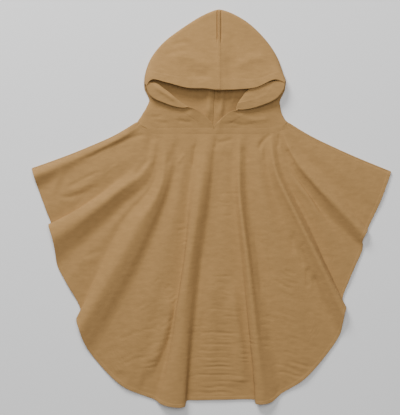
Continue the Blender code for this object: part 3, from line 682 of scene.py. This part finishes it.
def fold_lines(folds, rows, flat_z=None, inset=0.0):
    """Each fold line's points from neck to hem, and their distances from the hem."""
    lines, to_hem = [], []
    for fold in folds:
        neck = np.array((fold.neck, neck_y(fold.neck), neck_z(fold.neck)))
        points = np.array([neck, fold.yoke, fold.middle, fold.hem], float)
        if flat_z is not None:
            top = np.array([0.0, BACK_NECK_Y])
            outward = points[3, :2] - top
            points[3, :2] -= outward / np.linalg.norm(outward) * inset
            points[0, 1] = BACK_NECK_Y
            points[:, 2] = flat_z
        dense = spline(points, STATIONS, np.linspace(0, 1, 80))
        length = np.linalg.norm(np.diff(dense, axis=0), axis=1).sum()
        body = np.linspace(0, 1, rows) ** 0.9 * (1 - (HEM_ROWS[0] + 2.5) / length)
        down = np.append(body, 1 - np.array(HEM_ROWS) / length)
        lines.append(spline(points, STATIONS, down))
        to_hem.append((1 - down) * length)
    return np.swapaxes(lines, 0, 1), np.transpose(to_hem)


def across_counts(rows, spacing, multiple):
    """How many parts each gap between fold lines takes, with a total that multiple divides."""
    lower = rows[rows.shape[0] // 2:]
    gaps = np.linalg.norm(np.diff(lower, axis=1), axis=2).mean(axis=0)
    counts = np.maximum(LEAST_PARTS, np.round(gaps / spacing)).astype(int)
    while counts.sum() % multiple:
        counts[np.argmax(gaps / counts)] += 1
    return counts


def panel_grid(rows, to_hem, counts):
    """A smooth grid over the fold lines' rows, and each point's distance from the hem."""
    grid = np.array([smooth_line(row, counts) for row in rows])
    column = split_gaps(np.arange(rows.shape[1], dtype=float), counts)
    hem = np.array([np.interp(column, np.arange(rows.shape[1]), row) for row in to_hem])
    return grid, hem


def row_distance(grid):
    """Each point's distance along its row from the row's start."""
    steps = np.linalg.norm(np.diff(grid, axis=1), axis=2)
    return np.insert(np.cumsum(steps, axis=1), 0, 0, axis=1)


def turned_in(hem):
    """1 where the cloth is turned in along its lower edge, and 0 past that."""
    return 1 - smoothstep(HEM_DEPTH - 0.4, HEM_DEPTH + 0.5, hem)


def groove(distance, at, width, depth):
    return -depth * np.exp(-((distance - at) / (width / 2)) ** 2)


# A grid's outer face: its points, their normals and their distances from an edge.
Face = namedtuple("Face", "points normals far")


def build_front(material):
    """The front panel's cloth, and its outer face."""
    rows, to_hem = fold_lines(FRONT_FOLDS, FRONT_ROWS)
    spacing = np.array([FINE_SPACING if fold.name in FINE_GAPS else FRONT_SPACING
                        for fold in FRONT_FOLDS[:-1]])
    counts = across_counts(rows, spacing, FRONT_RATIO[1])
    grid, hem = panel_grid(rows, to_hem, counts)
    grid[0, :, 1] = neck_y(grid[0, :, 0])
    grid[..., 2] = np.maximum(grid[..., 2], FRONT_Z)
    normal = surface_normals(grid)
    x, y, z = grid[..., 0], grid[..., 1], grid[..., 2]
    left = row_distance(grid)
    shoulder = np.minimum(left, left[:, -1:] - left)
    calm = smoothstep(0, 9, hem) * smoothstep(0, 8, shoulder)
    rise = crinkle(x, y, z, RIPPLE_ZONES, 1.0) * (0.4 + 0.6 * calm)
    rise += ripple_rows_rise(RIPPLE_ROWS, x, y, z) * smoothstep(0, 12, hem)
    rise += crease_rise(FRONT_CREASES, x, y) * smoothstep(0, 6, hem)
    rise += groove(shoulder, SHOULDER_STITCHES, width=2.5, depth=0.35)
    middle = grid + normal * rise[..., None]
    middle[..., 2] = np.maximum(middle[..., 2], FRONT_Z - FRONT_SINK)
    turned = turned_in(hem)
    thick = CLOTH + HEM_EXTRA * turned + groove(hem, HEM_STITCHES, width=1.4, depth=0.25)
    middle[..., 2] += HEM_EXTRA * turned / 2
    panel = shell("front_cloth", middle, normal, thick, material, FRONT_RATIO)
    top = middle + normal * thick[..., None] / 2
    return panel, Face(top, normal, hem)


def nape_dip(x):
    return NAPE_DIP * np.exp(-((x - VEE_X) / NAPE_DIP_WIDTH) ** 2)


def build_back(material):
    """The back panel's cloth, flat on the table."""
    rows, to_hem = fold_lines(BACK_FOLDS, BACK_ROWS, CLOTH / 2 + 0.15, HEM_INSET)
    counts = across_counts(rows, BACK_SPACING, BACK_RATIO[1])
    grid, hem = panel_grid(rows, to_hem, counts)
    normal = np.zeros_like(grid)
    normal[..., 2] = 1
    x, y = grid[..., 0], grid[..., 1]
    grid[..., 1] -= nape_dip(x) * smoothstep(BACK_NECK_Y - NAPE_DIP_REACH, BACK_NECK_Y, y)
    relief = 0.5 * crinkle(x + 400, y + 900, np.zeros_like(x), (), 1.4)
    thick = CLOTH + 0.25 * turned_in(hem) + np.clip(relief, -0.25, 0.3)
    return shell("back_cloth", grid, normal, thick, material, BACK_RATIO)


# ---- hood
HOOD_SPACING = 2.0
PEAK_PARTS = 8           # between the centre seam and the section beside it
EDGE_PARTS = 5           # on each side of the folded edge's tip
SHARP_SEAM = (326, 342)  # where the grooves beside the crown's seam set in, in y
CROWN_GROOVE_LEFT = 3.6
CROWN_GROOVE_RIGHT = 2.4


def section_points(section):
    """A hood section's points, from the rim to the centre seam at the back."""
    side_point = np.array(section.side)
    fold = np.array(section.fold, float)
    outward = fold - side_point[:2]
    outward /= np.linalg.norm(outward)
    turn = fold - outward * (EDGE_ROUND + EDGE_WALL / 2)
    tip = fold - outward * EDGE_WALL / 2
    top_z = BACK_Z + max(EDGE_DEPTH, EDGE_HEIGHT * (side_point[2] - BACK_Z))
    back = np.array([back_seam_x(section.back), section.back])
    along_back = [(*(turn + (back - turn) * station), BACK_Z) for station in BACK_STATIONS]
    edge = [(*turn, top_z), (*tip, (top_z + BACK_Z) / 2), (*turn, BACK_Z)]
    front = [section.rim, section.roll, section.under, section.side]
    return [*front, *edge, *along_back, (*back, BACK_Z)]


HOOD_BACK_CREASES = table(Crease, (
    (2.8, 44.0, ((62, 190), (66, 226), (70, 262), (70, 300))),
    (2.4, 32.0, ((5, 164), (4, 200), (6, 240), (8, 296))),
    (4.6, 16.0, ((-8, 168), (-6, 198), (-4, 234), (-3, 272))),
    (4.4, 13.0, ((15, 172), (20, 206), (24, 268))),
    (-1.6, 8.0, ((7, 206), (10, 226), (11, 262))),
    (3.4, 15.0, ((34, 190), (44, 228), (54, 268))),
    (0.5, 8.0, ((-44, 200), (-36, 230), (-32, 264))),
    (0.6, 7.0, ((-74, 214), (-66, 240), (-60, 264))),
    (1.2, 9.0, ((70, 200), (74, 230), (76, 262))),
))
HOOD_FRONT_CREASES = table(Crease, (
    # neck part
    (-0.8, 8.0, ((16, 167), (44, 170), (61, 166), (98, 170))),
    (-0.7, 8.0, ((-118, 176), (-98, 170), (-80, 172))),
    (-0.8, 8.0, ((-124, 186), (-112, 182), (-96, 186))),
    (-0.8, 7.0, ((-70, 178), (-52, 172), (-36, 174))),
    (0.8, 9.0, ((66, 178), (92, 176), (120, 180))),
    # the left flap
    (-2.6, 9.0, ((-118, 246), (-100, 233), (-82, 221), (-66, 208))),
    # crown
    (-1.1, 20.0, ((32, 304), (33, 276), (43, 252))),
    (-1.8, 18.0, ((4, 268), (-24, 264), (-52, 276))),
    (1.8, 20.0, ((8, 284), (-20, 290), (-50, 302), (-84, 298))),
    (1.8, 18.0, ((40, 280), (66, 290), (92, 300), (114, 294))),
    (-0.8, 10.0, ((-100, 300), (-70, 312), (-40, 312))),
    (-0.8, 9.0, ((-90, 322), (-60, 330), (-34, 330))),
    (-0.9, 16.0, ((34, 352), (52, 330), (74, 318))),
))


def hood_grid(sections):
    """A hood half's middle surface and the columns of its sections' points."""
    sections = np.array([section_points(section) for section in sections])
    sections[0, TIP_POINT:, 1] = BACK_NECK_Y
    knots = chord_knots(sections)
    gaps = np.linalg.norm(np.diff(sections, axis=0), axis=2)
    parts = np.round(gaps[:, :5].max(axis=1) / HOOD_SPACING)
    counts = np.maximum(LEAST_PARTS, parts).astype(int)
    counts[-1] = PEAK_PARTS
    flat = sections.reshape(len(sections), -1)
    rows = spline(flat, knots, split_gaps(knots, counts)).reshape(-1, *sections.shape[1:])
    over = np.quantile(np.linalg.norm(np.diff(rows, axis=1), axis=2), 0.8, axis=0)
    over_counts = np.maximum(LEAST_PARTS + 1, np.round(over / HOOD_SPACING)).astype(int)
    over_counts[TIP_POINT - 1:TIP_POINT + 1] = EDGE_PARTS
    grid = np.array([smooth_line(row, over_counts) for row in rows])
    columns = np.append(0, np.cumsum(over_counts))
    row_ends = np.append(0, np.cumsum(counts))
    tip, first, last = columns[TIP_POINT], row_ends[1], row_ends[-2]
    # the seams lie on their own lines, and the cloth beside them follows
    fade = 1 - np.linspace(0, 1, first + 1)[:, None]
    neck_shift = neck_y(grid[0, :tip, 0]) - grid[0, :tip, 1]
    grid[:first + 1, :tip, 1] += fade * neck_shift
    grid[:first + 1, tip:, 1] += fade * (BACK_NECK_Y - grid[0, tip:, 1])
    grid[:first + 1, 0, 0] = VEE_X
    count = grid.shape[0] - last
    fade = np.linspace(0, 1, count)[:, None]
    grid[last:, :, 0] += fade * (CROWN_SEAM_X - grid[-1, :, 0])
    back = columns[-2]
    fade = np.linspace(0, 1, grid.shape[1] - back)
    grid[:, back:, 0] += fade * (back_seam_x(grid[:, -1:, 1]) - grid[:, -1:, 0])
    x, y = grid[:, tip:, 0], grid[:, tip:, 1]
    y -= nape_dip(x) * (1 - smoothstep(BACK_NECK_Y, BACK_NECK_Y + NAPE_DIP_REACH, y))
    grid[..., 2] = np.maximum(grid[..., 2], BACK_Z)
    return grid, columns, row_ends


def build_hood(name, sections, side, material):
    """A hood half's cloth, and its outer and inner faces from the V up to the folded edge."""
    grid, columns, row_ends = hood_grid(sections)
    turn = -side
    normal = surface_normals(grid, turn)
    tip = columns[TIP_POINT]
    x, y, z = grid[..., 0], grid[..., 1], grid[..., 2]
    rim = row_distance(grid)
    vee, row = row_ends[1], np.arange(grid.shape[0])
    past_vee = smoothstep(vee, row_ends[2], row)[:, None]
    column = np.arange(grid.shape[1])[None, :]
    front = 1 - smoothstep(tip - 6, tip - 2, column)
    back = smoothstep(tip + 8, tip + 16, column)
    rise = crinkle(x + 130 * side, y, np.zeros_like(z), (), 0.9) * (0.3 + 0.7 * front)
    rise += crease_rise(HOOD_FRONT_CREASES, x, y) * front * smoothstep(0, 22, rim)
    rise *= past_vee + (1 - past_vee) * smoothstep(0, 9, rim)  # the halves meet under the V
    below_seam = smoothstep(vee - 2, vee + 4, row)[:, None]
    lift = crease_rise(HOOD_BACK_CREASES, x, y) * below_seam * back
    hem = (1 - smoothstep(RIM_HEM_DEPTH - 0.8, RIM_HEM_DEPTH + 0.8, rim)) * past_vee
    thick = CLOTH + HEM_EXTRA * hem
    rise += groove(rim, RIM_HEM_DEPTH - 1.2, width=3.2, depth=0.35) * past_vee * front
    beside_seam = np.abs(x - CROWN_SEAM_X)
    sharp = smoothstep(*SHARP_SEAM, y) * front * smoothstep(0, 3, rim)
    depth = CROWN_GROOVE_RIGHT if side > 0 else CROWN_GROOVE_LEFT
    rise += sharp * groove(beside_seam, CROWN_BAND / 2 + 0.5, width=2.6, depth=depth)
    rise += front * smoothstep(0, 3, rim) * 0.9 * np.exp(-(beside_seam / 5) ** 2)
    middle = grid + normal * rise[..., None]
    middle[..., 2] = np.maximum(middle[..., 2] + lift, CLOTH / 2 + 0.1)
    hood = shell(name, middle, normal, thick, material, side=turn)
    seen = np.s_[vee:, :tip]
    out = normal * thick[..., None] / 2
    outer = Face((middle + out)[seen], normal[seen], rim[seen])
    inner = Face((middle - out)[seen], -normal[seen], rim[seen])
    return hood, outer, inner


# ---- materials
def set_inputs(node, values):
    for name, value in values.items():
        node.inputs[name].default_value = value


def gauze_material(name, colour, weave_depth):
    """Matte gauze: mottled colour, and bumps for the crinkle and the weave."""
    material = bpy.data.materials.new(name)
    material.use_nodes = True
    nodes, links = material.node_tree.nodes, material.node_tree.links
    shader = nodes["Principled BSDF"]
    set_inputs(shader, {
        "Roughness": 0.92, "Specular IOR Level": 0.2, "Sheen Weight": 0.06,
        "Sheen Roughness": 0.6, "Sheen Tint": (1.0, 0.8, 0.55, 1),
    })
    attribute = nodes.new("ShaderNodeAttribute")
    attribute.attribute_name = "grain"
    grain = attribute.outputs["Vector"]

    def add_node(kind, values, **sources):
        """A node with the given inputs, and links into others."""
        made = nodes.new(kind)
        set_inputs(made, values)
        for name, source in sources.items():
            links.new(source, made.inputs[name])
        return made

    def noise_node(scale, detail, size):
        mapping = add_node("ShaderNodeMapping", {"Scale": scale}, Vector=grain)
        values = {"Scale": size, "Detail": detail}
        made = add_node("ShaderNodeTexNoise", values, Vector=mapping.outputs["Vector"])
        return made.outputs["Fac"]

    def bump(height, distance, strength, **below):
        values = {"Distance": distance, "Strength": strength}
        return add_node("ShaderNodeBump", values, Height=height, **below).outputs["Normal"]

    weft = noise_node((1, 3.6, 2), detail=2, size=60)
    warp = noise_node((3.4, 1, 2), detail=2, size=60)
    pucker = noise_node((1, 1.2, 1), detail=3, size=330)
    normal = bump(weft, 0.0012, strength=0.22)
    normal = bump(warp, 0.0010, strength=0.22, Normal=normal)
    normal = bump(pucker, 0.0006, strength=0.45, Normal=normal)
    for direction in ("X", "Y"):
        wave = add_node("ShaderNodeTexWave", {"Scale": 230, "Distortion": 1.2}, Vector=grain)
        wave.bands_direction = direction
        normal = bump(wave.outputs["Fac"], weave_depth, strength=0.25, Normal=normal)
    links.new(normal, shader.inputs["Normal"])

    mottle = noise_node((1, 2.2, 1), detail=5, size=60)
    ramp = add_node("ShaderNodeValToRGB", {}, Fac=mottle)
    for stop, at, shade in zip(ramp.color_ramp.elements, (0.3, 0.7), (0.93, 1.06)):
        stop.position = at
        stop.color = (*(c * shade for c in colour), 1)
    links.new(ramp.outputs["Color"], shader.inputs["Base Color"])
    return material


def plain_material(name, colour, roughness):
    material = bpy.data.materials.new(name)
    material.use_nodes = True
    shader = material.node_tree.nodes["Principled BSDF"]
    set_inputs(shader, {"Base Color": (*colour, 1), "Roughness": roughness})
    return material


# ---- floor, light and camera
PHOTO_SIZE = (400, 415)
MM_PER_PIXEL = 2.0
VIEW_CENTRE = (-23.0, 1.0)
CAMERA_HEIGHT = 3000.0
CLOTH_HEIGHT = 8.0


def build_floor():
    half = 12.0
    mesh = bpy.data.meshes.new("floor")
    corners = [(-half, -half, 0), (half, -half, 0), (half, half, 0), (-half, half, 0)]
    mesh.from_pydata(corners, [], [(0, 1, 2, 3)])
    mesh.materials.append(plain_material("pale_floor", (0.93, 0.93, 0.93), roughness=0.9))
    floor = add_object("floor", mesh)


def add_area_light(name, place, size, power):
    """A round light, turned to the middle of the floor."""
    light = bpy.data.lights.new(name, "AREA")
    light.shape = "DISK"
    light.size = size
    light.energy = power
    lamp = add_object(name, light)
    lamp.location = place
    toward = -np.array(place, float)
    lamp.rotation_euler = (
        math.atan2(math.hypot(toward[0], toward[1]), -toward[2]),
        0,
        math.atan2(toward[0], -toward[1]) + math.pi,
    )


def build_light():
    add_area_light("key", (-1.02, 2.46, 1.52), size=1.4, power=104)
    add_area_light("overhead", (0.15, 0.7, 3.2), size=2.4, power=57)
    world = bpy.data.worlds.new("studio")
    world.use_nodes = True
    background = world.node_tree.nodes["Background"]
    set_inputs(background, {"Color": (0.97, 0.985, 1.0, 1), "Strength": 0.15})
    bpy.context.scene.world = world


def build_camera():
    camera = bpy.data.cameras.new("camera")
    long_side = max(PHOTO_SIZE) * MM_PER_PIXEL
    camera.lens = camera.sensor_width * (CAMERA_HEIGHT - CLOTH_HEIGHT) / long_side
    camera.clip_end = 20
    holder = add_object("camera", camera)
    holder.location = (VIEW_CENTRE[0] * MM, VIEW_CENTRE[1] * MM, CAMERA_HEIGHT * MM)
    bpy.context.scene.camera = holder


# ---- build
GAUZE = (0.385, 0.221, 0.081)
# The thread has the gauze's own colour, painted a little lighter here as painted light to offset
# the shade that falls on and around the small stitches.
THREAD_PAINTED_LIGHTER = (0.41, 0.238, 0.09)


def finish_piece(piece, node=None):
    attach(piece, "root")
    if node:
        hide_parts(node)


def band_profile(half_width, rise, edge, groove_at, groove_depth):
    """A band's height across: flat, tucked in at both edges, with a groove by its stitches."""
    def profile(across):
        flat = 1 - smoothstep(half_width - edge, half_width, np.abs(across))
        tucked = 0.12 * (1 - smoothstep(0, 0.8, half_width - np.abs(across)))
        return rise * flat - tucked + groove(np.abs(across), groove_at, 1.2, groove_depth)
    return profile


CROWN_BAND_ENDS = (235.2, 396.6)
CROWN_BAND_RISES = (326, 340)  # the band is faint below these y and full above
SHOULDER_SEAM = 1.8      # its half width and half height
SHOULDER_SEAM_Z = 1.85
SHOULDER_SEAM_IN = 1.1   # from the front panel's edge


def build_shoulder(name, edge, inward, material):
    """The seam that joins the front and back panels along a shoulder, as a rolled edge."""
    path = edge.copy()
    path[:, 0] += inward * SHOULDER_SEAM_IN
    path[:, 2] = SHOULDER_SEAM_Z
    up = np.array((0.0, 0.0, 1.0))
    rings = []
    for number, (place, way) in enumerate(zip(path, directions(path))):
        fat = 1 + 0.06 * lattice(np.array([number]), np.array([3]), seed=19)[0]
        rings.append(ring_points(place, way, up, SHOULDER_SEAM * fat, SHOULDER_SEAM, count=10))
    verts, faces = loft(np.array(rings))
    if inward < 0:
        faces = [face[::-1] for face in faces]
    return new_object(name, verts, faces, material)


gauze = gauze_material("double_gauze", GAUZE, weave_depth=0.00012)
thread = plain_material("thread", THREAD_PAINTED_LIGHTER, roughness=0.8)
build_floor()
build_light()
build_camera()
back_cloth = build_back(gauze)
finish_piece(back_cloth, "back_panel")
front_cloth, front_face = build_front(gauze)
finish_piece(front_cloth, "front_panel")
hoods, hood_stitches = {}, {}
for side_name, sections, side in (("left", HOOD_LEFT, -1), ("right", HOOD_RIGHT, 1)):
    hood, outer, inner = build_hood(f"hood_{side_name}_cloth", sections, side, gauze)
    finish_piece(hood, f"hood_{side_name}")
    lines = [line_at(*face, RIM_STITCHES) for face in (outer, inner)]
    hoods[side_name] = hood
    hood_stitches[side_name] = stitches_object(f"rim_stitches_{side_name}", lines, thread)
    finish_piece(hood_stitches[side_name])

tree = surface_tree([front_cloth, *hoods.values()])
neck_path = smooth_line(NECK_LINE, 14)[4:-4]
neck_profile = band_profile(NECK_BAND / 2, rise=0.12, edge=5.0, groove_at=NECK_BAND / 2 - 2.4,
                            groove_depth=0.02)
neck_band, neck_top, neck_up = strip("neck_band", tree, neck_path, NECK_BAND / 2, neck_profile,
                                     columns=17, material=gauze)
crown_y = np.linspace(*CROWN_BAND_ENDS, 110)
crown_path = np.stack([np.full_like(crown_y, CROWN_SEAM_X), crown_y], axis=1)
crown_profile = band_profile(CROWN_BAND / 2, rise=1.0, edge=1.0, groove_at=0, groove_depth=0.12)
crown_strength = 0.25 + 0.75 * smoothstep(*CROWN_BAND_RISES, crown_y)
crown_band, crown_top, crown_up = strip(
    "crown_band", tree, crown_path, CROWN_BAND / 2, crown_profile, columns=13, material=gauze,
    strength=crown_strength)
shoulders = [build_shoulder("shoulder_seam_left", front_face.points[2:-1, 0], 1, gauze),
             build_shoulder("shoulder_seam_right", front_face.points[2:-1, -1], -1, gauze)]
hem_line = line_at(*(values.swapaxes(0, 1)[4:-4, ::-1] for values in front_face), HEM_STITCHES)
front_lines = [hem_line]
for way in (1, -1):
    points, normals = front_face.points[:, ::way], front_face.normals[:, ::way]
    front_lines.append(line_at(points, normals, row_distance(points), SHOULDER_STITCHES))
front_stitches = stitches_object("front_stitches", front_lines, thread)
band_lines = [
    (neck_top[:, 2], neck_up[:, 2]), (neck_top[:, -3], neck_up[:, -3]),
    (crown_top[:, 3], crown_up[:, 3]), (crown_top[:, -4], crown_up[:, -4]),
]
band_stitches = stitches_object("band_stitches", band_lines, thread)
for piece in (neck_band, crown_band, front_stitches, band_stitches, *shoulders):
    finish_piece(piece)
